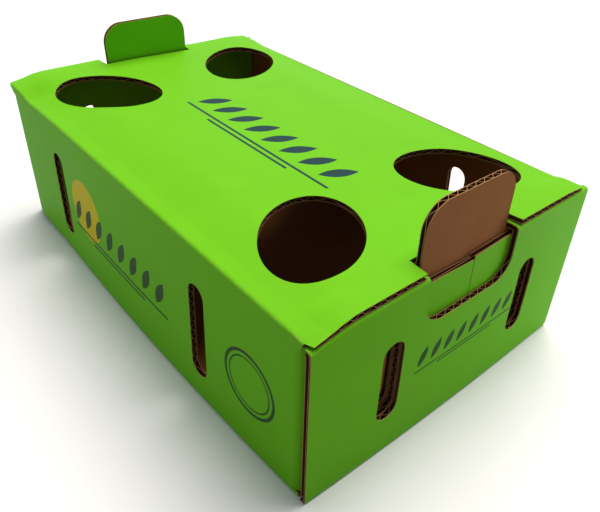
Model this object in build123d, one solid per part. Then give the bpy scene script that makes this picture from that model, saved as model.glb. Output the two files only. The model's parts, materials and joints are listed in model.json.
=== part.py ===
"""Folded corrugated produce carton: a roll-end tray with a hinged, tucked lid.

Millimetres, +Z up. X runs along the long side, Y across, and the origin is the
centre of the underside. One blank makes the whole carton. The long walls turn
round the corners into corner flaps, the end panels roll over those flaps and
lock into the bottom, and the lid hinges on the wall at -Y and tucks in at +Y.
"""

from build123d import *
import os
from math import pi

# Overall size of the folded carton
length = 404.0
width = 248.0
wall_height = 127.0

# Corrugated board and its folds
board = 4.0
bend = 0.8
crease_outer = 2.0
corner_outer = 4.0
ply_gap = 0.4
side_ease = 1.0

# End roll: hand hole, carrying tab and lock lugs
hand_width = 81.0
hand_depth = 37.5
hand_corner = 17.0
tab_slit = 0.5
lug_width = 28.0
lug_place = 74.0
lug_ease = 0.5
lug_recess = 0.4

# Corner flaps between the plies of each end
flap_seam = 5.0
flap_seam_gap = 0.6
flap_drop = 4.0
flap_ease = 0.6

# Upright vent slots
end_slot_width = 17.0
end_slot_height = 61.5
end_slot_place = 64.0
end_slot_level = 61.5
flap_slot_ease = 0.8
inner_slot_rise = 2.0
side_slot_width = 17.0
side_slot_height = 75.0
side_slot_level = 59.5
side_slot_places = (-118.0, 96.0)

# Front wall that the lid tucks behind
front_wall_drop = 3.0

# Lid, its hinge crease and its tuck flap
lid_gap = 0.3
lid_recess = 3.0
lid_corner_relief = 5.0
crease_radius = 1.2
tuck_gap = 1.5
tuck_depth = 22.0
tuck_end_ease = 2.2
tuck_corner = 9.0

# Oval holes in the lid, long axis towards the corners
hole_long = 88.5
hole_short = 63.5
hole_turn = 45.0
hole_place_x = 133.0
hole_place_y = 66.0

# Notches that let the carrying tabs through the lid
notch_ease = 2.7
notch_back_ease = 2.5
notch_flare = 1.5

# Values that follow from the ones above
half_length = length / 2
half_width = width / 2
bend_centre = bend + board / 2
bend_outer = bend + board
ply_pitch = board + ply_gap
outer_ply_x = half_length - board / 2
flap_ply_x = outer_ply_x - ply_pitch
inner_ply_x = flap_ply_x - ply_pitch
roll_middle = wall_height - board / 2
roll_tangent = roll_middle - bend_centre
inner_ply_half_width = half_width - board - side_ease
hand_bottom = wall_height - hand_depth
roll_length = outer_ply_x - inner_ply_x - 2 * bend_centre + pi * bend_centre
tab_top = roll_tangent + roll_length + (roll_tangent - hand_bottom)
tab_width = hand_width - 2 * tab_slit
wall_half_length = flap_ply_x
flap_top = wall_height - board - flap_ease
lid_under = wall_height + lid_gap
lid_middle = lid_under + board / 2
hinge_y = -half_width + board / 2
lid_half_length = half_length - lid_recess
tuck_y = half_width - board - tuck_gap - board / 2
tuck_half_length = inner_ply_x - board / 2 - tuck_end_ease
tuck_bottom = lid_under + board - tuck_depth
margin = 1.0
outer_right = -1


def shifted(points, side):
    """Corners of a right-angled line, moved half a board to its left or right."""
    line = [Vector(*point) for point in points]
    runs = [(b - a).normalized() for a, b in zip(line, line[1:])]
    left = [Vector(-run.Y, run.X) for run in runs]
    moves = [left[0]] + [a + b for a, b in zip(left, left[1:])] + [left[-1]]
    return [point + move * (side * board / 2) for point, move in zip(line, moves)]


def board_along(points, outer_side, outer_radius=crease_outer):
    """Board section along a line of creases that all turn the same way.

    A crease is crushed inside, so its outside is crisper than the board is thick.
    """
    outer = FilletPolyline(*shifted(points, outer_side), radius=outer_radius)
    inner = FilletPolyline(*shifted(points, -outer_side), radius=bend)
    return make_face([outer, inner, Line(outer @ 0, inner @ 0), Line(outer @ 1, inner @ 1)])


def block(x_range, y_range, z_range):
    """Square-cornered tool for trimming, given by its ranges."""
    size = [high - low for low, high in (x_range, y_range, z_range)]
    centre = [(high + low) / 2 for low, high in (x_range, y_range, z_range)]
    return Pos(*centre) * Box(*size)


def both_ends(tool):
    """A tool at +X with its mirror image at -X."""
    return tool + mirror(tool, Plane.YZ)


def both_sides(tool):
    """A tool at +Y with its mirror image at -Y."""
    return tool + mirror(tool, Plane.XZ)


def upright_slot(plane, across, level, slot_width, slot_height, depth):
    """Round-ended upright slot, cut through a wall from the given plane."""
    outline = Pos(across, level) * SlotOverall(slot_height, slot_width, rotation=90)
    return extrude(plane * outline, depth, both=True)


def end_rolls():
    """Bottom, outer end panels, rolled tops and inner plies, as one strip."""
    inner_foot = board + ply_gap
    line = [
        (-inner_ply_x, inner_foot),
        (-inner_ply_x, roll_middle),
        (-outer_ply_x, roll_middle),
        (-outer_ply_x, board / 2),
        (outer_ply_x, board / 2),
        (outer_ply_x, roll_middle),
        (inner_ply_x, roll_middle),
        (inner_ply_x, inner_foot),
    ]
    strip = extrude(Plane.XZ * board_along(line, outer_right), half_width, both=True)
    inside = half_length - board - ply_gap
    trim = block((-inside, inside), (inner_ply_half_width, half_width + margin),
                 (-margin, wall_height + margin))
    return strip - both_sides(trim)


def side_walls():
    """Bottom and both long walls, up to the hinge crease and the front edge."""
    back = hinge_y
    line = [
        (back, lid_middle - board / 2),
        (back, board / 2),
        (-back, board / 2),
        (-back, wall_height - front_wall_drop),
    ]
    crease = make_face(Polyline(
        (back - board / 2, lid_middle - board / 2),
        (back + board / 2, lid_middle - board / 2),
        (back, lid_middle),
        close=True,
    ))
    bead = Pos(back, lid_middle) * Circle(crease_radius)
    section = board_along(line, outer_right) + crease + bead
    return extrude(Plane.YZ * section, wall_half_length, both=True)


def corner_flaps():
    """The long walls' flaps, turned round the four corners behind the end panels."""
    wraps = Part()
    for side in (-1, 1):
        wall_y = side * (half_width - board / 2)
        seam_y = flap_seam + side * flap_seam_gap / 2
        line = [
            (flap_ply_x, seam_y),
            (flap_ply_x, wall_y),
            (-flap_ply_x, wall_y),
            (-flap_ply_x, seam_y),
        ]
        wrap = board_along(line, side * outer_right, corner_outer)
        wraps += Pos(0, 0, bend_outer) * extrude(wrap, flap_top - bend_outer)
    slope = make_face(Polyline(
        (-half_width + bend_outer, flap_top),
        (flap_seam, flap_top - flap_drop),
        (half_width - bend_outer, flap_top),
        (flap_seam, flap_top + flap_drop),
        close=True,
    ))
    flap_inside = flap_ply_x - board / 2 - ply_gap / 2
    wedge = Pos(flap_inside, 0, 0) * extrude(Plane.YZ * slope, bend_outer)
    return wraps - both_ends(wedge)


def hand_holes():
    """Cut in the outer end panels and over the roll that frees the carrying tabs."""
    outline = Pos(0, hand_bottom + hand_depth) * Rectangle(hand_width, 2 * hand_depth)
    outline = fillet(outline.vertices().group_by(Axis.Y)[0], hand_corner)
    cut = Pos(half_length - board - ply_gap / 2, 0, 0) * extrude(Plane.YZ * outline, 2 * board)
    inner_face = inner_ply_x + board / 2
    over = block((inner_face, half_length), (-hand_width / 2, hand_width / 2),
                 (flap_top + flap_ease / 2, wall_height + margin))
    slits = block((inner_ply_x - board, inner_face + margin), (tab_width / 2, hand_width / 2),
                  (roll_tangent, wall_height + margin))
    return both_ends(cut + over + both_sides(slits))


def carrying_tabs():
    """Tabs left standing on the inner plies where the hand holes were cut out."""
    foot = roll_tangent - bend_centre
    outline = Pos(0, foot) * Rectangle(tab_width, 2 * (tab_top - foot))
    outline = fillet(outline.vertices().group_by(Axis.Y)[-1], hand_corner)
    outline -= Pos(0, foot - tab_top) * Rectangle(width, 2 * tab_top)
    tab = Pos(inner_ply_x - board / 2, 0, 0) * extrude(Plane.YZ * outline, board)
    return both_ends(tab)


def lock_lugs():
    """Lugs at the foot of the inner plies that drop into the bottom panel."""
    lug = block((inner_ply_x - board / 2, inner_ply_x + board / 2),
                (lug_place - lug_width / 2, lug_place + lug_width / 2),
                (lug_recess, board + ply_gap + margin))
    return both_ends(both_sides(lug))


def lug_slots():
    """Slots in the bottom panel, one round each lock lug."""
    slot = block((inner_ply_x - board / 2 - lug_ease, inner_ply_x + board / 2 + lug_ease),
                 (lug_place - lug_width / 2 - lug_ease, lug_place + lug_width / 2 + lug_ease),
                 (-margin, board + ply_gap / 2))
    return both_ends(both_sides(slot))


def end_slots():
    """Vent slots of the ends, one cut in each ply: the three don't quite line up."""
    cuts = Part()
    for ply_x, rise, ease in ((outer_ply_x, 0, 0), (flap_ply_x, 0, flap_slot_ease),
                              (inner_ply_x, inner_slot_rise, 0)):
        cuts += upright_slot(Plane.YZ.offset(ply_x), end_slot_place, end_slot_level + rise,
                             end_slot_width + 2 * ease, end_slot_height + 2 * ease,
                             ply_pitch / 2)
    return both_ends(both_sides(cuts))


def side_slots():
    """Vent slots through both long walls."""
    tools = Part()
    for along in side_slot_places:
        tools += upright_slot(Plane.XZ, along, side_slot_level,
                              side_slot_width, side_slot_height, half_width + margin)
    return tools


def make_tray():
    """The whole tray, one folded sheet joined only at its folds."""
    tray = end_rolls() + side_walls() + corner_flaps()
    tray -= hand_holes()
    tray += carrying_tabs()
    tray -= lug_slots()
    tray += lock_lugs()
    return tray - end_slots() - side_slots()


def lid_sheet():
    """Lid panel and tuck flap, from the hinge crease to the flap's free edge."""
    line = [
        (hinge_y + board / 2, lid_middle),
        (tuck_y, lid_middle),
        (tuck_y, tuck_bottom),
    ]
    start = hinge_y + board / 2 + lid_gap
    mitre = make_face(Polyline(
        (start, lid_middle - board / 2),
        (start, lid_middle + board / 2),
        (hinge_y + lid_gap, lid_middle),
        close=True,
    ))
    section = board_along(line, -outer_right)
    section -= Pos(start - board, lid_middle) * Rectangle(2 * board, 2 * board)
    section += mitre
    section -= Pos(hinge_y, lid_middle) * Circle(crease_radius + lid_gap)
    return extrude(Plane.YZ * section, lid_half_length, both=True)


def lid_trims():
    """Waste round the lid: past the tuck flap's ends and at the hinge corners."""
    past_flap = block((tuck_half_length, half_length), (0, half_width),
                      (tuck_bottom - margin, lid_under))
    corner = make_face(Polyline(
        (tuck_half_length, tuck_bottom),
        (tuck_half_length - tuck_corner / 2, tuck_bottom),
        (tuck_half_length, tuck_bottom + tuck_corner),
        close=True,
    ))
    flap_corner = extrude(Plane.XZ * corner, -half_width)
    relief = make_face(Polyline(
        (wall_half_length, -half_width),
        (wall_half_length, hinge_y),
        (lid_half_length, hinge_y + lid_corner_relief),
        (half_length, hinge_y + lid_corner_relief),
        (half_length, -half_width),
        close=True,
    ))
    hinge_corner = Pos(0, 0, lid_under - margin) * extrude(relief, board + 2 * margin)
    return both_ends(past_flap + flap_corner + hinge_corner)


def lid_holes():
    """Four oval holes, each turned towards its own corner of the lid."""
    tools = Part()
    for side_x in (-1, 1):
        for side_y in (-1, 1):
            oval = Rot(0, 0, side_x * side_y * hole_turn) * Ellipse(hole_long / 2, hole_short / 2)
            place = Pos(side_x * hole_place_x, side_y * hole_place_y, lid_under - margin)
            tools += place * extrude(oval, board + 2 * margin)
    return tools


def lid_notches():
    """Open notches in the lid's ends, which flare a little outwards."""
    back = inner_ply_x - board / 2 - notch_back_ease
    inner = tab_width / 2 + notch_ease
    outer = inner + notch_flare
    outline = make_face(Polyline(
        (back, -inner),
        (half_length, -outer),
        (half_length, outer),
        (back, inner),
        close=True,
    ))
    return both_ends(Pos(0, 0, lid_under - margin) * extrude(outline, board + 2 * margin))


def make_lid():
    """Lid with its tuck flap, holes and notches."""
    return lid_sheet() - lid_trims() - lid_holes() - lid_notches()


def main():
    os.makedirs("parts", exist_ok=True)
    export_step(make_tray(), "parts/tray.step")
    export_step(make_lid(), "parts/lid.step")
    print("tab top", round(tab_top, 2))
    print("hinge at y", round(hinge_y, 2), "z", round(lid_middle, 2))


main()
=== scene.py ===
"""Looks of the folded corrugated carton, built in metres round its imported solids.

Each sheet of board is drawn flat, as two liners and a waved medium, and is then
folded along its line of creases. In a flat sheet u runs along the flutes and v
across them, and the same pair is the sheet's UV map.
"""

import json
from math import atan2, ceil, cos, pi, radians, sin

import bpy
import numpy as np
from mathutils import Matrix, Vector
from mathutils.geometry import delaunay_2d_cdt


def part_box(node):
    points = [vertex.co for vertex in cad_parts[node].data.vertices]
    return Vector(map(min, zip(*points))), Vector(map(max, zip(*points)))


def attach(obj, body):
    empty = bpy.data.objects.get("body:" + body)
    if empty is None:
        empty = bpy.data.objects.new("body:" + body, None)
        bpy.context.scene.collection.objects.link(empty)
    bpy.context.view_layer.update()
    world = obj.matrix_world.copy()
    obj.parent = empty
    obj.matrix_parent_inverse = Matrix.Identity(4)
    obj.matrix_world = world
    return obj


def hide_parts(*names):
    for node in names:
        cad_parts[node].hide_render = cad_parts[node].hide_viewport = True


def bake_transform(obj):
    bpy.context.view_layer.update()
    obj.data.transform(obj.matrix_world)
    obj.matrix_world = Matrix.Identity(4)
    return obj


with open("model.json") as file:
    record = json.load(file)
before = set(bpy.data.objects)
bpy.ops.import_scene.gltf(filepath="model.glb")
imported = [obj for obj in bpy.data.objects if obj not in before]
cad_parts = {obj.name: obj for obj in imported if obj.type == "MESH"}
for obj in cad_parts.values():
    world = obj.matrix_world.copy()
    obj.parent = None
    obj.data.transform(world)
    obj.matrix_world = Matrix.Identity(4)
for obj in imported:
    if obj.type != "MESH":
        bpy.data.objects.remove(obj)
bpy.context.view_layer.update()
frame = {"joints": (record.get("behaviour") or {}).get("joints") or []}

tray_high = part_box("tray")[1]
lid_low, lid_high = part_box("lid")
hinge = Vector(frame["joints"][0]["pos_m"])

# Board, its two liners and its fluted medium, and the radii of its folds
board = 0.004
liner = 0.00045
medium = 0.0004
crest_room = 0.00005
pitch = 0.0078
fold_radius = 0.0028
crease_outer = 0.0026
wall_radius = 0.0058
corner_outer = wall_radius + board / 2
hinge_outer = 0.0026
ply_gap = 0.0004
lid_gap = 0.0003

# Planes of the plies, from the solids
half_length = tray_high.x
half_width = tray_high.y
half_height = hinge.z / 2
tab_top = tray_high.z
outer_x = half_length - board / 2
flap_x = outer_x - board - ply_gap
inner_x = flap_x - board - ply_gap
wall_y = half_width - board / 2
inner_ease = 0.001
inner_half_width = half_width - board - inner_ease
roll_z = hinge.z - lid_gap - board
bend_outer = fold_radius + board / 2
quarter = pi / 2 * fold_radius
wall_quarter = pi / 2 * wall_radius

# Cuts in the ends and walls
hand_half_width = 0.0408
hand_bottom = 0.0895
hand_corner = 0.017
tab_half_width = 0.040
lug_low, lug_high, lug_drop, lug_ease = 0.060, 0.088, 0.004, 0.0005
slot_half_width = 0.0085
end_slot_y, end_slot_z, end_slot_half = 0.064, 0.0615, 0.03075
side_slot_xs, side_slot_z, side_slot_half = (-0.115, 0.096), 0.0595, 0.0375
flap_seam, seam_half_gap = 0.005, 0.0003
flap_top, flap_drop, seam_step = 0.1224, 0.004, 0.002
front_wall_top = 0.124
flap_slot_ease = 0.0008
inner_slot_rise = 0.002
far_trim = 0.003
# Tongue of the hinge wall at its corner: shares of the bend, and rises over the flap's top
corner_gusset = ((0.62, 0.0030), (0.30, 0.0030), (0.02, 0.0))

# Lid: its reach past the solid, tuck flap, holes and notches, and its strip at the hinge
lid_reach = 0.0022
lid_half_length = lid_high.x + lid_reach
tuck_y = lid_high.y - board / 2
tuck_bottom = lid_low.z
tuck_half_length = 0.187
tuck_chamfer = (0.0045, 0.009)
hole_x, hole_y, hole_long, hole_short = 0.133, 0.066, 0.04425, 0.03175
notch_back_x, notch_back_half, notch_mouth_half = 0.1867, 0.0427, 0.0440
corner_relief = 0.0015
strip_tip = 0.4
fold_wall_z = flap_top
fold_lid_y = -0.112

# How far the loaded and handled board has bent
wall_bow, end_bow = 0.0055, 0.002
hinge_dip, tuck_dip, lid_crush = 0.0061, 0.0035, 0.0018
lid_sink, far_lift = 0.0022, 0.0026
near_dent, tip_dent = 0.0038, 0.0008
near_skew, near_rise = 0.0016, 0.0012
far_flare, far_rise = 0.0016, 0.005

# Where each of them starts and is full: in x over the ends, else as shares of the half side
# or of the height
near_roll = (inner_x - 4 * board, inner_x - board)
far_roll = (inner_x - 8 * board, inner_x - board)
end_zone = (inner_x - 3 * board, inner_x - board)
tip_zone = (inner_x - board / 2, flap_x)
wall_bow_zone, end_bow_zone = (0.3, 0.95), (0.5, 0.9)
dip_zone, dip_height = (0.62, 1), 0.75
crush_zone = (0.76, 0.96)
press_zone, press_height = (0.76, 1), 0.6
tip_side = (0.94, 1)
lift_side, lift_edge = (-0.6, 0.3), (0.8, 1)

# Spacing of mesh lines, and where they cross a bend as shares of it
liner_step = 0.008
flute_step = 0.028
edge_step = 0.0013
roll_step = 0.003
bend_margin = 0.0006
liner_bend = (0, 0.17, 0.33, 0.4, 0.45, 0.5, 0.55, 0.6, 0.67, 0.83, 1)
flute_bend = (0, 0.33, 0.5, 0.67, 1)
rows_per_flute = 8
sharp_angle = 0.75

# Sheets are triangulated in millimetres, at this tolerance
plan_scale, plan_weld = 1000.0, 1e-4

# Small sizes in metres by which outlines and meshes are cleaned, and a slot's rounding
digits = 7
level_gap = 1e-7
weld_gap = 1e-6
least_area = 1e-11
slot_rounding = 0.9999

# Colours of the printed ink over the board, linear
green_light = (0.172, 0.605, 0.014)
green_deep = (0.148, 0.545, 0.011)
green_speck = (0.12, 0.42, 0.015)
green_rubbed = (0.42, 0.66, 0.16)
navy = (0.010, 0.040, 0.055)
olive = (0.022, 0.075, 0.020)
yellow = (0.72, 0.64, 0.012)

# Paper's grain: scales of its noise in turns a metre, and depth of its relief
cloud_scale = 38.0
speck_scale = 1400.0
fibre_stretch = (1500.0, 260.0, 1.0)
washboard_share = 0.6
grain_depth = 0.00005
speck_range = (0.60, 0.74)
printed_relief, printed_specks, paper_specks = 0.35, 0.12, 0.6

# Rubbed creases: grain, reach, range of the noise kept, and share of tint and roughness
rub_scale = 320.0
rub_reach = 0.0024
rub_range = (0.45, 0.7)
rub_tint, rub_rough = 0.5, 0.2

# Ink: how well it covers, and how rough it is, from the grain's dark to its light
ink_cover = (0.96, 1.0)
ink_rough = (0.45, 0.56)

# Bare papers: light and dark tone, speck, and strength of relief
papers = {
    "kraft": ((0.35, 0.150, 0.050), (0.275, 0.112, 0.035), (0.09, 0.036, 0.012), 0.6),
    "cut_edge": ((0.50, 0.29, 0.13), (0.38, 0.205, 0.088), (0.18, 0.09, 0.04), 0.8),
    # The fluted medium and the liners' faces inside the board: brown paper drawn darker than it is,
    # as painted shade inside the flutes
    "flute": ((0.105, 0.05, 0.02), (0.07, 0.032, 0.013), (0.05, 0.02, 0.01), 0.4),
}

# Ornament of slanted leaves over two bars, drawn at full size
ink_blur = 0.0003
row_half = 0.088
leaf_pitch = 0.022
leaf_turn = 62
leaf_half = 0.0145
leaf_width = 0.0054
bar_thick = 0.0011
leaf_bars = ((-0.0195, 0.088), (-0.0245, 0.050))

# Where each kind of sheet is printed: mark, its two axes, its middle, its sizes and its ink
prints = {
    "plain": (),
    "lid": (("leaves", "XY", (0.010, -0.004), {"Size": 1.0}, navy),),
    "long": (
        ("ring", "XZ", (-0.068, 0.066), {"Radius": 0.0, "Half": 0.026}, yellow),
        ("leaves", "XZ", (-0.018, 0.060), {"Size": 0.86}, olive),
        ("ring", "XZ", (0.150, 0.058), {"Radius": 0.023, "Half": 0.0012}, olive),
        ("ring", "XZ", (0.150, 0.058), {"Radius": 0.019, "Half": 0.0006}, olive),
    ),
    "end": (("leaves", "YZ", (0.007, 0.066), {"Size": 0.55}, olive),),
}

# Light: what the floor and surroundings show, and what they send on
floor_seen = (0.87, 0.93, 0.99)
floor_lit = (0.3, 0.3, 0.3)
world_lit = (0.16, 0.16, 0.16)
floor_half = 6.0

# Lamps: kind, place, strength and settings
lamps = {
    "key": ("SUN", (-0.10, 0.36, 0.95), 3.8,
            {"angle": radians(50), "color": (1.0, 0.88, 0.79)}),
    "window": ("AREA", (-1.10, 1.00, 0.60), 1.0, {"size": 0.8, "color": (0.75, 0.9, 1.0)}),
    "side_fill": ("AREA", (-2.20, -1.70, 0.60), 17.0, {"size": 1.8}),
    "end_fill": ("AREA", (0.42, 0.30, 0.02), 0.48, {"size": 0.15}),
}

# Camera, fitted to the photograph's 600 x 512 frame
frame_width, frame_height = 600, 512
focal_pixels = 622.9
principal = (321.2, 234.1)
camera_place = (0.3582, -0.2629, 0.3350)
camera_azimuth, camera_elevation, camera_roll = -42.17, 34.43, 2.75


def corner_reach(turned, rounding):
    """Reach of a rounded corner from its bend's centre, where an arc's is one."""
    a, b = np.cos(turned), np.sin(turned)
    flat = 1 - rounding
    middle = flat * (a + b)
    reach = middle + np.sqrt(np.maximum(middle ** 2 - 2 * flat ** 2 + rounding ** 2, 0))
    reach = np.where(b < flat * a, 1 / np.maximum(a, 0.1), reach)
    return np.where(a < flat * b, 1 / np.maximum(b, 0.1), reach)


class FoldLine:
    """Middle line of a folded board: straight runs joined by right-angle bends."""

    def __init__(self, *corners, outer_radius=crease_outer, radius=fold_radius):
        corners = [Vector(corner) for corner in corners]
        self.radius = radius
        self.rounding = outer_radius / (radius + board / 2)
        self.spans = []
        self.bends = []
        here = corners[0]
        distance = 0.0
        for number in range(1, len(corners)):
            run = (corners[number] - corners[number - 1]).normalized()
            heading = atan2(run.y, run.x)
            last = number == len(corners) - 1
            straight = (corners[number] - here).length - (0 if last else radius)
            self.spans.append((distance, here, heading, 0.0))
            distance += straight
            here = here + straight * run
            if not last:
                leave = (corners[number + 1] - corners[number]).normalized()
                curve = (run.x * leave.y - run.y * leave.x) / radius
                self.spans.append((distance, here, heading, curve))
                self.bends.append((distance, distance + pi / 2 * radius))
                distance += pi / 2 * radius
                here = corners[number] + radius * leave
        self.length = distance

    def place(self, along, out):
        """Plane coordinates at distances along the line, raised to its outer side."""
        starts = [span[0] for span in self.spans]
        which = np.clip(np.searchsorted(starts, along, side="right") - 1, 0, None)
        first, second = np.zeros_like(along), np.zeros_like(along)
        for number, (start, point, heading, curve) in enumerate(self.spans):
            here = which == number
            way = along[here] - start
            turned = heading + curve * way
            if curve:
                a = point.x - sin(heading) / curve
                b = point.y + cos(heading) / curve
                share = np.clip(out[here] / board + 0.5, 0, 1)
                stretch = 1 + share * (corner_reach(curve * way, self.rounding) - 1)
                rise = (self.radius + out[here]) * stretch
            else:
                a = point.x + way * cos(heading)
                b = point.y + way * sin(heading)
                rise = out[here]
            first[here] = a + np.sin(turned) * rise
            second[here] = b - np.cos(turned) * rise
        return first, second

    def bend_lines(self, shares):
        """Distances of the mesh lines that each bend needs."""
        lines = []
        for start, end in self.bends:
            lines += [start - bend_margin, end + bend_margin]
            lines += [start + (end - start) * share for share in shares]
        return lines


def round_box(u_range, v_range, radii):
    """Box outline; radii are for the corners low-low, high-low, high-high, low-high."""
    corners = [(u_range[0], v_range[0]), (u_range[1], v_range[0]),
               (u_range[1], v_range[1]), (u_range[0], v_range[1])]
    inward = [(1, 1), (-1, 1), (-1, -1), (1, -1)]
    points = []
    for number, ((u, v), (du, dv), radius) in enumerate(zip(corners, inward, radii)):
        steps = max(1, ceil(radius * pi / 2 / edge_step))
        start = pi + number * pi / 2
        for i in range(steps + 1 if radius else 1):
            angle = start + i / steps * pi / 2
            points.append((u + radius * (du + cos(angle)), v + radius * (dv + sin(angle))))
    return points


def slot_outline(u, v, half_u, half_v):
    """Round-ended slot."""
    radius = min(half_u, half_v) * slot_rounding
    return round_box((u - half_u, u + half_u), (v - half_v, v + half_v), (radius,) * 4)


def oval_outline(u, v, turn):
    """Oval hole of the lid, with its long axis turned from u."""
    steps = ceil(2 * pi * hole_long / edge_step)
    points = []
    for i in range(steps):
        along = hole_long * cos(2 * pi * i / steps)
        across = hole_short * sin(2 * pi * i / steps)
        points.append((u + along * cos(turn) - across * sin(turn),
                       v + along * sin(turn) + across * cos(turn)))
    return points


def mirrored(points, across_u=False, across_v=False):
    """The same outline on the other side of an axis."""
    return [(-u if across_u else u, -v if across_v else v) for u, v in points]


def spread(low, high, step, extra=()):
    """Even mesh lines from low to high, with the extra ones that a bend needs."""
    count = max(1, ceil((high - low) / step))
    even = low + (high - low) * np.arange(count + 1) / count
    extra = np.array([e for e in extra if low < e < high])
    if len(extra):
        keep = [abs(extra - e).min() > step / 4 for e in even]
        keep[0] = keep[-1] = True
        even = np.concatenate([even[keep], extra])
    return np.unique(np.round(even, digits))


def inside(points, outlines):
    """Which points lie inside the first outline and outside the other ones."""
    found = np.zeros(len(points), bool)
    for outline in outlines:
        u0, v0 = np.array(outline).T
        u1, v1 = np.roll(u0, -1), np.roll(v0, -1)
        for a, b, c, d in zip(u0, v0, u1, v1):
            if b != d:
                crosses = (b > points[:, 1]) != (d > points[:, 1])
                crosses &= points[:, 0] < a + (points[:, 1] - b) / (d - b) * (c - a)
                found ^= crosses
    return found


def flat_mesh(outlines, u_lines, v_lines):
    """Flat triangles between the outlines, with edges along every v line."""
    points, edges = [], []
    for outline in outlines:
        start, count = len(points), len(outline)
        points += outline
        edges += [(start + i, start + (i + 1) % count) for i in range(count)]
    for v in v_lines:
        start = len(points)
        points += [(u, v) for u in u_lines]
        edges += [(start + i, start + i + 1) for i in range(len(u_lines) - 1)]
    drawn = [Vector(point) * plan_scale for point in points]
    made = delaunay_2d_cdt(drawn, edges, [], 0, plan_weld, False)
    flat = np.array([tuple(point) for point in made[0]]) / plan_scale
    faces = np.array(made[2])
    a, b, c = (flat[faces[:, i]] for i in range(3))
    area = (b[:, 0] - a[:, 0]) * (c[:, 1] - a[:, 1]) - (b[:, 1] - a[:, 1]) * (c[:, 0] - a[:, 0])
    faces = faces[(abs(area) > least_area) & inside((a + b + c) / 3, outlines)]
    used, faces = np.unique(faces, return_inverse=True)
    faces = faces.reshape(-1, 3)
    mesh = bpy.data.meshes.new("flat")
    corners = np.column_stack([flat[used], np.zeros(len(used))])
    mesh.from_pydata(corners.tolist(), [], faces.tolist())
    return mesh


def link(tree, source, target):
    """Joins an output socket to an input one."""
    tree.links.new(source, target)


def add_node(tree, kind, inputs=(), **settings):
    """One node; each of its inputs takes a socket to link or a value to set."""
    node = tree.nodes.new(kind)
    for name, value in settings.items():
        setattr(node, name, value)
    for key, value in dict(inputs).items():
        if isinstance(value, bpy.types.NodeSocket):
            tree.links.new(value, node.inputs[key])
        else:
            node.inputs[key].default_value = value
    return node


def math_node(tree, operation, *values, clamp=False):
    """One Math node; its inputs are sockets or numbers."""
    node = add_node(tree, "ShaderNodeMath", enumerate(values), operation=operation, use_clamp=clamp)
    return node.outputs[0]


def wave_sheet(tree, given):
    """Stores a flat sheet's own place as its UV map, then lifts the sheet to its wave."""
    nodes = tree.nodes
    position = nodes.new("GeometryNodeInputPosition").outputs[0]
    uv = nodes.new("GeometryNodeStoreNamedAttribute")
    uv.data_type, uv.domain = "FLOAT2", "CORNER"
    uv.inputs["Name"].default_value = "UVMap"
    link(tree, given["Geometry"], uv.inputs["Geometry"])
    link(tree, position, uv.inputs["Value"])
    parts = nodes.new("ShaderNodeSeparateXYZ")
    link(tree, position, parts.inputs[0])
    turns = math_node(tree, "DIVIDE", parts.outputs["Y"], given["Pitch"])
    wave = math_node(tree, "SINE", math_node(tree, "MULTIPLY", turns, 2 * pi))
    wave = math_node(tree, "MULTIPLY", wave, given["Wave"])
    offset = nodes.new("ShaderNodeCombineXYZ")
    link(tree, math_node(tree, "ADD", given["Level"], wave), offset.inputs["Z"])
    waved = nodes.new("GeometryNodeSetPosition")
    link(tree, uv.outputs["Geometry"], waved.inputs["Geometry"])
    link(tree, offset.outputs[0], waved.inputs["Offset"])
    return waved.outputs[0]


def thicken(tree, given, sheet):
    """Closed ply raised from a sheet, with the selections of its top and of its cut edge."""
    nodes = tree.nodes
    up = nodes.new("ShaderNodeCombineXYZ")
    up.inputs["Z"].default_value = 1.0
    thick = nodes.new("GeometryNodeExtrudeMesh")
    thick.inputs["Individual"].default_value = False
    link(tree, sheet, thick.inputs["Mesh"])
    link(tree, up.outputs[0], thick.inputs["Offset"])
    link(tree, given["Thickness"], thick.inputs["Offset Scale"])
    under = nodes.new("GeometryNodeFlipFaces")
    link(tree, sheet, under.inputs["Mesh"])
    both = nodes.new("GeometryNodeJoinGeometry")
    link(tree, under.outputs[0], both.inputs[0])
    link(tree, thick.outputs["Mesh"], both.inputs[0])
    merged = nodes.new("GeometryNodeMergeByDistance")
    merged.inputs["Distance"].default_value = weld_gap
    link(tree, both.outputs[0], merged.inputs["Geometry"])
    return merged.outputs[0], thick.outputs["Top"], thick.outputs["Side"]


def make_ply_tree():
    """Nodes that give a flat sheet its wave, thickness, UV map and materials."""
    tree = bpy.data.node_groups.new("board_ply", "GeometryNodeTree")
    tree.interface.new_socket("Geometry", in_out="OUTPUT", socket_type="NodeSocketGeometry")
    tree.interface.new_socket("Geometry", in_out="INPUT", socket_type="NodeSocketGeometry")
    for name in ("Level", "Wave", "Pitch", "Thickness"):
        tree.interface.new_socket(name, in_out="INPUT", socket_type="NodeSocketFloat")
    for name in ("Outer", "Inner", "Cut"):
        tree.interface.new_socket(name, in_out="INPUT", socket_type="NodeSocketMaterial")
    nodes = tree.nodes
    given = nodes.new("NodeGroupInput").outputs
    waved = wave_sheet(tree, given)
    merged, top, side = thicken(tree, given, waved)
    real = nodes.new("GeometryNodeRealizeInstances")
    link(tree, merged, real.inputs[0])
    last = real.outputs[0]
    for name, which in (("Inner", None), ("Outer", top), ("Cut", side)):
        paint = nodes.new("GeometryNodeSetMaterial")
        link(tree, last, paint.inputs["Geometry"])
        link(tree, given[name], paint.inputs["Material"])
        if which is not None:
            link(tree, which, paint.inputs["Selection"])
        last = paint.outputs[0]
    link(tree, last, nodes.new("NodeGroupOutput").inputs[0])
    return tree


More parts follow.
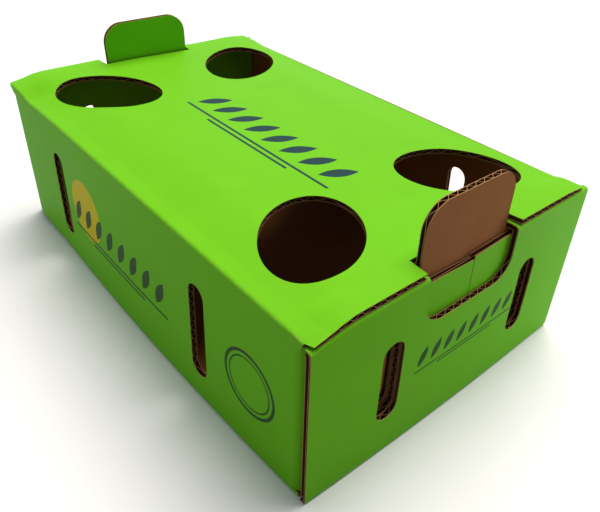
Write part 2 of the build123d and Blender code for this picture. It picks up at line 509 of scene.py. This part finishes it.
def make_ply(tree, flat, **values):
    """One closed ply of board, still flat, as a linked object."""
    thing = bpy.data.objects.new("ply", flat)
    bpy.context.scene.collection.objects.link(thing)
    modifier = thing.modifiers.new("ply", "NODES")
    modifier.node_group = tree
    for socket in tree.interface.items_tree:
        if socket.in_out == "INPUT" and socket.name in values:
            modifier[socket.identifier] = values[socket.name]
    graph = bpy.context.evaluated_depsgraph_get()
    mesh = bpy.data.meshes.new_from_object(thing.evaluated_get(graph))
    thing.modifiers.clear()
    thing.data = mesh
    return thing


def joined(things, name):
    """The given objects as one."""
    with bpy.context.temp_override(active_object=things[0], object=things[0],
                                   selected_objects=things, selected_editable_objects=things):
        bpy.ops.object.join()
    whole = things[0]
    whole.name = name
    whole.data.name = name
    return whole


def fold(mesh, line, along_u, plane, warps):
    """Bends a flat sheet along its line of folds and lets it warp."""
    count = len(mesh.vertices)
    flat = np.empty(count * 3)
    mesh.vertices.foreach_get("co", flat)
    u, v, out = flat.reshape(-1, 3).T
    along, across = (u, v) if along_u else (v, u)
    first, second = line.place(along.copy(), out)
    solid = np.zeros((count, 3))
    solid[:, plane[0]] = first
    solid[:, plane[1]] = second
    solid[:, 3 - sum(plane)] = across
    for warp in warps:
        solid = warp(solid)
    mesh.vertices.foreach_set("co", solid.ravel())
    mesh.update()
    corners = np.empty(len(mesh.loops), int)
    mesh.loops.foreach_get("vertex_index", corners)
    starts = np.empty(len(mesh.polygons), int)
    mesh.polygons.foreach_get("loop_start", starts)
    a, b, c = (solid[corners[starts + i]] for i in range(3))
    if np.einsum("ij,ij->i", a, np.cross(b, c)).sum() < 0:
        mesh.flip_normals()
    mesh.shade_smooth()
    mesh.set_sharp_from_angle(angle=sharp_angle)


def straight_runs(outlines):
    """The v of each cut edge that runs along u, which the mesh must follow over a bend."""
    runs = set()
    for outline in outlines:
        for (u0, v0), (u1, v1) in zip(outline, outline[1:] + outline[:1]):
            if abs(v1 - v0) < level_gap and abs(u1 - u0) > 2 * edge_step:
                runs.add(v0)
    return list(runs)


def make_sheet(name, tree, line, along_u, plane, outlines, warps, paints, u_lines=()):
    """A folded sheet of board: printed liner, fluted medium and kraft liner."""
    outlines = [[(round(u, digits), round(v, digits)) for u, v in outline]
                for outline in outlines]
    u, v = np.array(outlines[0]).T
    bends = line.bend_lines(liner_bend)
    runs = straight_runs(outlines)
    u_lines = list(u_lines)
    u_extra, v_extra = (bends + u_lines, runs) if along_u else (u_lines, bends + runs)
    coarse = flat_mesh(outlines, spread(u.min(), u.max(), liner_step, u_extra),
                       spread(v.min(), v.max(), liner_step, v_extra))
    per_metre = rows_per_flute / pitch
    rows = np.arange(ceil(v.min() * per_metre), int(v.max() * per_metre) + 1) / per_metre
    rows = np.unique(np.concatenate([rows, runs]))
    fine_extra = (line.bend_lines(flute_bend) if along_u else []) + u_lines
    fine = flat_mesh(outlines, spread(u.min(), u.max(), flute_step, fine_extra), rows)
    crest = board / 2 - liner - medium / 2 - crest_room
    # The flute material, drawn dark as painted shade, covers the medium and the liners' faces
    # inside the board
    printed, kraft, cut, flute = paints
    plies = [
        make_ply(tree, coarse, Level=board / 2 - liner, Thickness=liner, Pitch=pitch, Wave=0.0,
                 Outer=printed, Inner=flute, Cut=cut),
        make_ply(tree, fine, Level=-medium / 2, Thickness=medium, Pitch=pitch, Wave=crest,
                 Outer=flute, Inner=flute, Cut=cut),
        make_ply(tree, coarse, Level=-board / 2, Thickness=liner, Pitch=pitch, Wave=0.0,
                 Outer=flute, Inner=kraft, Cut=cut),
    ]
    sheet = joined(plies, name)
    fold(sheet.data, line, along_u, plane, warps)
    return sheet


def ramp(value, low, high):
    """Smooth step from 0 at low to 1 at high."""
    t = np.clip((value - low) / (high - low), 0, 1)
    return t * t * (3 - 2 * t)


def moved(solid, dx=0, dy=0, dz=0):
    """Points moved by a distance along each axis."""
    return solid + np.stack([np.broadcast_to(d, len(solid)) for d in (dx, dy, dz)], axis=1)


def bulge(solid):
    """The tray's walls stand out a little towards their foot, between the corners."""
    x, y, z = solid.T
    foot = np.clip(1 - z / hinge.z, 0, 1)
    along = np.clip(1 - (x / flap_x) ** 2, 0, 1)
    across = np.clip(1 - (y / half_width) ** 2, 0, 1)
    dy = wall_bow * along * foot * ramp(abs(y) / half_width, *wall_bow_zone) * np.sign(y)
    dx = end_bow * across * foot * ramp(abs(x) / half_length, *end_bow_zone) * np.sign(x)
    return moved(solid, dx=dx, dy=dy)


def lid_sag(solid):
    """The lid sinks in its middle, lifts at the far end and is pressed down along its edges."""
    x, y, z = solid.T
    under = hinge.z - board / 2
    side = abs(y) / half_width
    dip = np.where(y < 0, hinge_dip, tuck_dip) * ramp(side, *dip_zone)
    # Over an end roll only the lid's top goes down, as far as the lid is crushed
    over_roll = ramp(x, *near_roll) + ramp(-x, *far_roll)
    crush = lid_crush * ramp(side, *crush_zone) * np.clip((z - under) / board, 0, 1)
    dip += over_roll * (crush - dip)
    sink = lid_sink * np.clip(1 - (x / inner_x) ** 4, 0, 1) * (1 - side ** 4)
    lift = far_lift * ramp(-x / half_length, 0.5, 1)
    lift *= ramp(-y / half_width, *lift_side) * (1 - ramp(-y / half_width, *lift_edge))
    return moved(solid, dz=(lift - dip - sink) * ramp(z / under, dip_height, 1))


def roll_press(solid):
    """The near end's rolled top is pressed down beside the hinge, most at its corner."""
    x, y, z = solid.T
    side = -y / half_width
    press = near_dent * ramp(x, *near_roll) * ramp(side, *press_zone)
    press += tip_dent * ramp(x, *tip_zone) * ramp(side, *tip_side)
    return moved(solid, dz=-press * ramp(z / roll_z, press_height, 1))


def skew(solid):
    """The ends have shifted a little between their corners, and the far one flares at the hinge."""
    x, y, z = solid.T
    between = ramp(abs(x), *end_zone) * np.clip(1 - (y / half_width) ** 4, 0, 1)
    high = np.clip(z / roll_z, 0, 1)
    dy = near_skew * between * (x > 0) * ramp(z, 0, half_height)
    flare = far_flare * (2 - high) * ramp(-x / half_length, 0.5, 1)
    dy -= flare * ramp(-y, 0, half_width)
    dz = np.where(x > 0, near_rise, far_rise) * between * 4 * high * (1 - high)
    return moved(solid, dy=dy, dz=dz)


def end_outlines():
    """Bottom, end panels, rolled tops and inner plies, drawn from the middle of the bottom."""
    bottom_end = outer_x - fold_radius
    panel_start = bottom_end + quarter
    panel_end = panel_start + roll_z - board / 2 - 2 * fold_radius
    roll_start = panel_end + quarter
    inner_start = roll_start + (outer_x - inner_x - 2 * fold_radius) + quarter
    foot = inner_start + roll_z - fold_radius - board - ply_gap

    bottom_half = half_width - bend_outer
    quadrant = [
        (bottom_end, bottom_half), (bottom_end, half_width),
        (roll_start, half_width), (roll_start, inner_half_width),
        (foot, inner_half_width), (foot, lug_high), (foot + lug_drop, lug_high),
        (foot + lug_drop, lug_low), (foot, lug_low),
    ]
    half = quadrant + mirrored(quadrant, across_v=True)[::-1]
    far = [(u, max(v, far_trim - half_width)) for u, v in mirrored(half, across_u=True)[::-1]]
    outlines = [half + far]

    level = panel_start - board / 2 - fold_radius
    top = inner_start + roll_z - fold_radius
    lug_slot = round_box((inner_x - board / 2 - lug_ease, inner_x + board / 2 + lug_ease),
                         (lug_low - lug_ease, lug_high + lug_ease), (0, 0, 0, 0))
    hand = round_box((level + hand_bottom, inner_start), (-hand_half_width, hand_half_width),
                     (hand_corner, 0, 0, hand_corner))
    outer_slot = slot_outline(level + end_slot_z, end_slot_y, end_slot_half, slot_half_width)
    inner_slot = slot_outline(top - end_slot_z - inner_slot_rise, end_slot_y,
                              end_slot_half, slot_half_width)
    for over_u in (False, True):
        outlines.append(mirrored(hand, over_u))
        for over_v in (False, True):
            for cut in (lug_slot, outer_slot, inner_slot):
                outlines.append(mirrored(cut, over_u, over_v))
    return outlines


def end_line():
    """Fold line of the bottom and both ends, with its middle at the bottom's centre."""
    foot = board + ply_gap - lug_drop
    return FoldLine((-inner_x, foot), (-inner_x, roll_z), (-outer_x, roll_z), (-outer_x, board / 2),
                    (outer_x, board / 2), (outer_x, roll_z), (inner_x, roll_z), (inner_x, foot))


def wall_sheet_parts(side):
    """Fold line and outlines of a long wall with its two corner flaps."""
    seam = flap_seam + side * seam_half_gap
    flap = abs(side * (wall_y - wall_radius) - seam)
    corner = flap_x - wall_radius
    end = corner + wall_quarter + flap
    drop = flap_drop + (seam_step if side < 0 else 0)
    line = FoldLine((side * flap_x, seam), (side * flap_x, side * wall_y),
                    (-side * flap_x, side * wall_y), (-side * flap_x, seam),
                    outer_radius=corner_outer, radius=wall_radius)
    half = [(end, bend_outer), (end, flap_top - drop), (corner + wall_quarter, flap_top)]
    if side < 0:
        half += [(corner + share * wall_quarter, flap_top + rise) for share, rise in corner_gusset]
    else:
        half += [(flap_x, flap_top), (flap_x, front_wall_top)]
    outlines = [half + mirrored(half, across_u=True)[::-1]]
    for x in side_slot_xs:
        outlines.append(slot_outline(-side * x, side_slot_z, slot_half_width, side_slot_half))
    flap_slot = slot_outline(corner + wall_quarter + wall_y - wall_radius - end_slot_y, end_slot_z,
                             slot_half_width + flap_slot_ease, end_slot_half + flap_slot_ease)
    outlines += [flap_slot, mirrored(flap_slot, across_u=True)]
    return line, outlines


def centred(outlines, line):
    """Outlines drawn from a line's middle, moved to be measured from its start."""
    return [[(u + line.length / 2, v) for u, v in outline] for outline in outlines]


def lid_line():
    """Fold line from the tuck flap's edge over the lid and down the hinge wall."""
    return FoldLine((tuck_y, tuck_bottom), (tuck_y, hinge.z), (-wall_y, hinge.z),
                    (-wall_y, fold_wall_z), outer_radius=hinge_outer)


def lid_distance(y, line):
    """Distance along the lid's fold line of a place on the lid."""
    return line.bends[0][1] + tuck_y - fold_radius - y


def lid_outlines(line):
    """Lid, tuck flap and oval holes, up to the strip that bends at the hinge."""
    lid_start = line.bends[0][1] - board / 2
    end = lid_distance(fold_lid_y, line)
    chamfer_u, chamfer_v = tuck_chamfer
    half = [
        (tuck_half_length - chamfer_u, 0.0), (tuck_half_length, chamfer_v),
        (tuck_half_length, lid_start), (lid_half_length, lid_start),
        (lid_half_length, lid_distance(notch_mouth_half, line)),
        (notch_back_x, lid_distance(notch_back_half, line)),
        (notch_back_x, lid_distance(-notch_back_half, line)),
        (lid_half_length, lid_distance(-notch_mouth_half, line)),
        (lid_half_length, end),
    ]
    outlines = [half + mirrored(half, across_u=True)[::-1]]
    for side_x in (-1, 1):
        for side_y in (-1, 1):
            outlines.append(oval_outline(side_x * hole_x, lid_distance(side_y * hole_y, line),
                                         -side_x * side_y * pi / 4))
    return outlines


def fold_outlines(line):
    """Strip that bends between the hinge wall and the lid; each end has a corner of its own."""
    bend_start, bend_end = line.bends[1]
    ends = []
    for corner in ((flap_x, bend_start + quarter / 2), (flap_x + board / 2, bend_end)):
        ends.append([(lid_half_length, lid_distance(fold_lid_y, line)),
                     (lid_half_length, lid_distance(corner_relief - wall_y, line)),
                     corner, (flap_x - strip_tip * wall_radius, line.length)])
    near, far = ends
    return [near + mirrored(far, across_u=True)[::-1]]


def lines_over_ends():
    """The x of the fine mesh lines that the lid and the hinge wall need over the rolled ends."""
    xs = np.arange(far_roll[0], lid_half_length, roll_step)
    return [float(side * x) for side in (-1, 1) for x in xs]


def make_ends(tree, paints):
    """Bottom and both ends with their rolls, which stand for the tray's solid."""
    line = end_line()
    ends = make_sheet("tray_ends", tree, line, True, (0, 2), centred(end_outlines(), line),
                      [bulge, roll_press, skew], paints["end"])
    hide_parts("tray")
    return ends


def make_wall(name, side, tree, paints):
    """A long wall with its corner flaps."""
    line, outlines = wall_sheet_parts(side)
    warps = [bulge, lid_sag, roll_press, skew] if side < 0 else [bulge, skew]
    lines = [line.length / 2 + x for x in lines_over_ends() if abs(x) < flap_x - wall_radius]
    return make_sheet(name, tree, line, True, (0, 1), centred(outlines, line), warps,
                      paints["long"], lines)


def make_foot(name, side, tree, paints):
    """The crease between a long wall and the bottom."""
    corners = [(side * wall_y, bend_outer), (side * wall_y, board / 2),
               (side * (wall_y - fold_radius), board / 2)]
    line = FoldLine(*(corners if side < 0 else corners[::-1]))
    strip = round_box((-flap_x, flap_x), (0, line.length), (0, 0, 0, 0))
    return make_sheet(name, tree, line, False, (1, 2), [strip], [bulge], paints["plain"])


def make_tab(name, side, tree, paints):
    """An upright carrying tab, which was cut from the hand hole."""
    low = roll_z - fold_radius
    ends_z = (tab_top, low) if side > 0 else (low, tab_top)
    line = FoldLine(*((side * inner_x, z) for z in ends_z))
    radii = (hand_corner, 0, 0, hand_corner) if side > 0 else (0, hand_corner, hand_corner, 0)
    outline = round_box((0, tab_top - low), (-tab_half_width, tab_half_width), radii)
    return make_sheet(name, tree, line, True, (0, 2), [outline], [bulge, skew], paints["plain"])


def make_lid(tree, paints):
    """The lid with its tuck flap, and the strip that bends between it and the hinge wall."""
    line = lid_line()
    lid = make_sheet("lid_panel", tree, line, False, (1, 2), lid_outlines(line),
                     [lid_sag, roll_press, skew], paints["lid"], lines_over_ends())
    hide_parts("lid")
    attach(lid, "lid")
    strip = make_sheet("lid_fold", tree, line, False, (1, 2), fold_outlines(line),
                       [bulge, lid_sag, roll_press, skew], paints["plain"], lines_over_ends())
    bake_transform(strip)


def make_pieces(tree, paints):
    """Every sheet of the carton; each rides on its body, except the strip at the hinge, which rides
    on none.
    """
    pieces = [make_ends(tree, paints)]
    for name, side in (("hinge_wall", -1), ("front_wall", 1)):
        pieces.append(make_wall(name, side, tree, paints))
        pieces.append(make_foot(name + "_foot", side, tree, paints))
    for name, side in (("far_tab", -1), ("near_tab", 1)):
        pieces.append(make_tab(name, side, tree, paints))
    for piece in pieces:
        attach(piece, "tray")
    make_lid(tree, paints)


def shader_group(name, inputs, outputs):
    """An empty shader node group, with the sockets that it is given and those that it fills."""
    tree = bpy.data.node_groups.new(name, "ShaderNodeTree")
    for in_out, sockets in (("INPUT", inputs), ("OUTPUT", outputs)):
        for socket, kind in sockets.items():
            tree.interface.new_socket(socket, in_out=in_out, socket_type="NodeSocket" + kind)
    return tree, tree.nodes.new("NodeGroupInput").outputs, tree.nodes.new("NodeGroupOutput").inputs


def use_group(tree, group, **inputs):
    """Outputs of a node group placed in a tree."""
    return add_node(tree, "ShaderNodeGroup", inputs, node_tree=group).outputs


def noise(tree, vector, scale, detail):
    """Noise from 0 to 1, with its scale in turns a unit of the vector."""
    return add_node(tree, "ShaderNodeTexNoise",
                    {"Vector": vector, "Scale": scale, "Detail": detail}).outputs["Fac"]


def remap(tree, value, low, high, first=0.0, last=1.0):
    """Value that goes from first to last as the given one goes from low to high."""
    return add_node(tree, "ShaderNodeMapRange",
                    {0: value, 1: low, 2: high, 3: first, 4: last}).outputs[0]


def mix_colour(tree, factor, first, second):
    """Colour from the first to the second as the factor goes from 0 to 1."""
    node = tree.nodes.new("ShaderNodeMix")
    node.data_type = "RGBA"
    for number, value in ((0, factor), (6, first), (7, second)):
        if isinstance(value, bpy.types.NodeSocket):
            tree.links.new(value, node.inputs[number])
        else:
            node.inputs[number].default_value = value if number == 0 else (*value, 1)
    return node.outputs[2]


def object_place(tree):
    """Coordinates of the carton, whole and one by one."""
    place = add_node(tree, "ShaderNodeTexCoord").outputs["Object"]
    return place, add_node(tree, "ShaderNodeSeparateXYZ", {0: place}).outputs


def make_grain():
    """Paper's cloudy tone and specks, and the relief of its fibres and of the flutes under it."""
    group, given, result = shader_group("paper_grain", {"Relief": "Float"},
                                        {"Cloud": "Float", "Speck": "Float", "Normal": "Vector"})
    place = object_place(group)[0]
    link(group, noise(group, place, cloud_scale, 3.0), result["Cloud"])
    speck = noise(group, place, speck_scale, 2.0)
    link(group, remap(group, speck, *speck_range), result["Speck"])
    flat = add_node(group, "ShaderNodeUVMap", uv_map="UVMap").outputs[0]
    drawn = add_node(group, "ShaderNodeVectorMath", {0: flat, 1: fibre_stretch},
                     operation="MULTIPLY").outputs[0]
    fibre = noise(group, drawn, 1.0, 3.0)
    across = add_node(group, "ShaderNodeSeparateXYZ", {0: flat}).outputs["Y"]
    rib = math_node(group, "SINE", math_node(group, "MULTIPLY", across, 2 * pi / pitch))
    height = math_node(group, "MULTIPLY_ADD", rib, washboard_share, fibre)
    bump = add_node(group, "ShaderNodeBump",
                    {"Strength": given["Relief"], "Distance": grain_depth, "Height": height})
    link(group, bump.outputs[0], result["Normal"])
    return group


def ink_edge(tree, depth):
    """Mask of a shape from the depth inside its outline."""
    return math_node(tree, "MULTIPLY_ADD", depth, 1 / ink_blur, 0.5, clamp=True)


def make_leaf_row():
    """Mask of a plain ornament: a row of slanted leaves over two bars."""
    group, given, result = shader_group(
        "leaf_row", {"Along": "Float", "Up": "Float", "Size": "Float"}, {"Mask": "Float"})
    along = math_node(group, "DIVIDE", given["Along"], given["Size"])
    up = math_node(group, "DIVIDE", given["Up"], given["Size"])
    row_along = math_node(group, "ABSOLUTE", along)
    in_row = math_node(group, "SUBTRACT", row_half, row_along)
    cell = math_node(group, "FLOORED_MODULO", math_node(group, "ADD", along, row_half), leaf_pitch)
    cell = math_node(group, "SUBTRACT", cell, leaf_pitch / 2)
    turn = radians(leaf_turn)
    tip = math_node(group, "MULTIPLY", cell, cos(turn))
    tip = math_node(group, "MULTIPLY_ADD", up, sin(turn), tip)
    side = math_node(group, "MULTIPLY", cell, -sin(turn))
    side = math_node(group, "MULTIPLY_ADD", up, cos(turn), side)
    tip = math_node(group, "DIVIDE", tip, leaf_half)
    width = math_node(group, "MULTIPLY_ADD", math_node(group, "MULTIPLY", tip, tip),
                      -leaf_width, leaf_width)
    leaf = math_node(group, "SUBTRACT", width, math_node(group, "ABSOLUTE", side))
    depth = math_node(group, "MINIMUM", leaf, in_row)
    for bar_up, bar_half in leaf_bars:
        high = math_node(group, "ABSOLUTE", math_node(group, "SUBTRACT", up, bar_up))
        bar = math_node(group, "MINIMUM", math_node(group, "SUBTRACT", bar_thick, high),
                        math_node(group, "SUBTRACT", bar_half, row_along))
        depth = math_node(group, "MAXIMUM", depth, bar)
    link(group, ink_edge(group, depth), result["Mask"])
    return group


def make_ring():
    """Mask of a plain ring, or of a disc where its radius is nought."""
    sockets = {name: "Float" for name in ("Along", "Up", "Radius", "Half")}
    group, given, result = shader_group("ring", sockets, {"Mask": "Float"})
    far = math_node(group, "SQRT", math_node(
        group, "MULTIPLY_ADD", given["Up"], given["Up"],
        math_node(group, "MULTIPLY", given["Along"], given["Along"])))
    off = math_node(group, "ABSOLUTE", math_node(group, "SUBTRACT", far, given["Radius"]))
    link(group, ink_edge(group, math_node(group, "SUBTRACT", given["Half"], off)), result["Mask"])
    return group


def make_crease_rub():
    """Mask of the rubbed spots along the printed board's creases."""
    group, _, result = shader_group("crease_rub", {}, {"Mask": "Float"})
    place, parts = object_place(group)
    high = parts["Z"]
    near_end = math_node(group, "SUBTRACT", math_node(group, "ABSOLUTE", parts["X"]), half_length)
    near_side = math_node(group, "SUBTRACT", math_node(group, "ABSOLUTE", parts["Y"]), half_width)
    corner = math_node(group, "ADD", near_end, half_length - flap_x - board / 2)
    low_lid = math_node(group, "SUBTRACT", high, hinge.z + board / 2 - hinge_dip)
    roll_top = math_node(group, "SUBTRACT", high, roll_z + board / 2)
    nearest = None
    for first, second in ((near_side, low_lid), (near_end, roll_top), (corner, near_side)):
        far = math_node(group, "SQRT", math_node(group, "MULTIPLY_ADD", first, first,
                                                 math_node(group, "MULTIPLY", second, second)))
        nearest = far if nearest is None else math_node(group, "MINIMUM", nearest, far)
    close = remap(group, nearest, rub_reach, 0.0)
    patchy = remap(group, noise(group, place, rub_scale, 4.0), *rub_range)
    link(group, math_node(group, "MULTIPLY", close, patchy), result["Mask"])
    return group


def new_material(name, roughness, specular):
    """Material with its node tree and shader; a value that is the same all over is set here."""
    material = bpy.data.materials.new(name)
    material.use_nodes = True
    tree = material.node_tree
    shader = tree.nodes["Principled BSDF"]
    shader.inputs["Roughness"].default_value = roughness
    shader.inputs["Specular IOR Level"].default_value = specular
    return material, tree, shader


def printed_material(name, groups, marks):
    """Printed liner: varnished green ink on paper, its rubbed creases and its ornaments."""
    material, tree, shader = new_material(name, roughness=0.5, specular=0.05)
    grain = use_group(tree, groups["grain"], Relief=printed_relief)
    rub = use_group(tree, groups["rub"])[0]
    colour = mix_colour(tree, grain["Cloud"], green_deep, green_light)
    specks = math_node(tree, "MULTIPLY", grain["Speck"], printed_specks)
    colour = mix_colour(tree, specks, colour, green_speck)
    parts = object_place(tree)[1]
    for kind, axes, (along, up), sizes, ink in marks:
        inputs = {"Along": math_node(tree, "SUBTRACT", parts[axes[0]], along),
                  "Up": math_node(tree, "SUBTRACT", parts[axes[1]], up), **sizes}
        mask = use_group(tree, groups[kind], **inputs)[0]
        uneven = remap(tree, grain["Cloud"], 0.0, 1.0, *ink_cover)
        colour = mix_colour(tree, math_node(tree, "MULTIPLY", mask, uneven), colour, ink)
    colour = mix_colour(tree, math_node(tree, "MULTIPLY", rub, rub_tint), colour, green_rubbed)
    link(tree, colour, shader.inputs["Base Color"])
    rough = remap(tree, grain["Cloud"], 0.0, 1.0, *ink_rough)
    link(tree, math_node(tree, "MULTIPLY_ADD", rub, rub_rough, rough), shader.inputs["Roughness"])
    link(tree, grain["Normal"], shader.inputs["Normal"])
    return material


def paper_material(name, groups, light, dark, speck, relief):
    """Bare brown paper: a liner's inside, its cut edge, or the fluted medium, whose dark tone is
    painted shade.
    """
    material, tree, shader = new_material(name, roughness=0.85, specular=0.15)
    grain = use_group(tree, groups["grain"], Relief=relief)
    colour = mix_colour(tree, grain["Cloud"], dark, light)
    specks = math_node(tree, "MULTIPLY", grain["Speck"], paper_specks)
    colour = mix_colour(tree, specks, colour, speck)
    link(tree, colour, shader.inputs["Base Color"])
    link(tree, grain["Normal"], shader.inputs["Normal"])
    return material


def make_paints():
    """Materials of each kind of sheet: printed face, bare face, cut edge, and inside, whose dark
    tone is painted shade in the flutes.
    """
    groups = {"grain": make_grain(), "rub": make_crease_rub(), "leaves": make_leaf_row(),
              "ring": make_ring()}
    bare = [paper_material(name, groups, *tones) for name, tones in papers.items()]
    return {name: (printed_material("printed_" + name, groups, marks), *bare)
            for name, marks in prints.items()}


def make_camera():
    """Camera where the photograph was taken, with its frame's small shift."""
    azimuth, elevation = radians(camera_azimuth), radians(camera_elevation)
    back = Vector((cos(elevation) * cos(azimuth), cos(elevation) * sin(azimuth), sin(elevation)))
    right = (-back).cross(Vector((0, 0, 1))).normalized()
    up = right.cross(-back)
    roll = radians(camera_roll)
    right, up = cos(roll) * right + sin(roll) * up, cos(roll) * up - sin(roll) * right
    data = bpy.data.cameras.new("camera")
    data.sensor_width = 36.0
    data.lens = focal_pixels / frame_width * data.sensor_width
    data.shift_x = (frame_width / 2 - principal[0]) / frame_width
    data.shift_y = (principal[1] - frame_height / 2) / frame_width
    data.clip_start, data.clip_end = 0.01, 100
    camera = bpy.data.objects.new("camera", data)
    turn = Matrix((right, up, back)).transposed().to_4x4()
    camera.matrix_world = Matrix.Translation(camera_place) @ turn
    bpy.context.scene.collection.objects.link(camera)
    bpy.context.scene.camera = camera


def seen_colour(tree, seen, lit):
    """One colour for what is seen directly or in a shine, another for the light it sends on."""
    path = add_node(tree, "ShaderNodeLightPath").outputs
    direct = math_node(tree, "MAXIMUM", path["Is Camera Ray"], path["Is Glossy Ray"])
    direct = math_node(tree, "MAXIMUM", direct, path["Is Transmission Ray"])
    return mix_colour(tree, direct, lit, seen)


def make_lamp(name, kind, place, energy, settings):
    """A lamp that shines from its place towards the carton's middle."""
    data = bpy.data.lights.new(name, kind)
    data.energy = energy
    for key, value in settings.items():
        setattr(data, key, value)
    lamp = bpy.data.objects.new(name, data)
    lamp.location = place
    lamp.rotation_mode = "QUATERNION"
    lamp.rotation_quaternion = (Vector(place) - Vector((0, 0, half_height))).to_track_quat("Z", "Y")
    lamp.visible_camera = False
    bpy.context.scene.collection.objects.link(lamp)


def make_stage():
    """Pale floor, white surroundings and soft light from above."""
    mesh = bpy.data.meshes.new("floor")
    corners = [(a * floor_half, b * floor_half, 0) for a, b in ((-1, -1), (1, -1), (1, 1), (-1, 1))]
    mesh.from_pydata(corners, [], [(0, 1, 2, 3)])
    floor = bpy.data.objects.new("floor", mesh)
    bpy.context.scene.collection.objects.link(floor)
    material, tree, shader = new_material("floor", roughness=0.9, specular=0.2)
    link(tree, seen_colour(tree, floor_seen, floor_lit), shader.inputs["Base Color"])
    mesh.materials.append(material)

    world = bpy.data.worlds.new("world")
    world.use_nodes = True
    tree = world.node_tree
    link(tree, seen_colour(tree, (1, 1, 1), world_lit), tree.nodes["Background"].inputs["Color"])
    bpy.context.scene.world = world

    for name, lamp in lamps.items():
        make_lamp(name, *lamp)


make_camera()
make_stage()
make_pieces(make_ply_tree(), make_paints())

scene = bpy.context.scene
scene.view_settings.view_transform = "Standard"
bpy.context.view_layer.update()
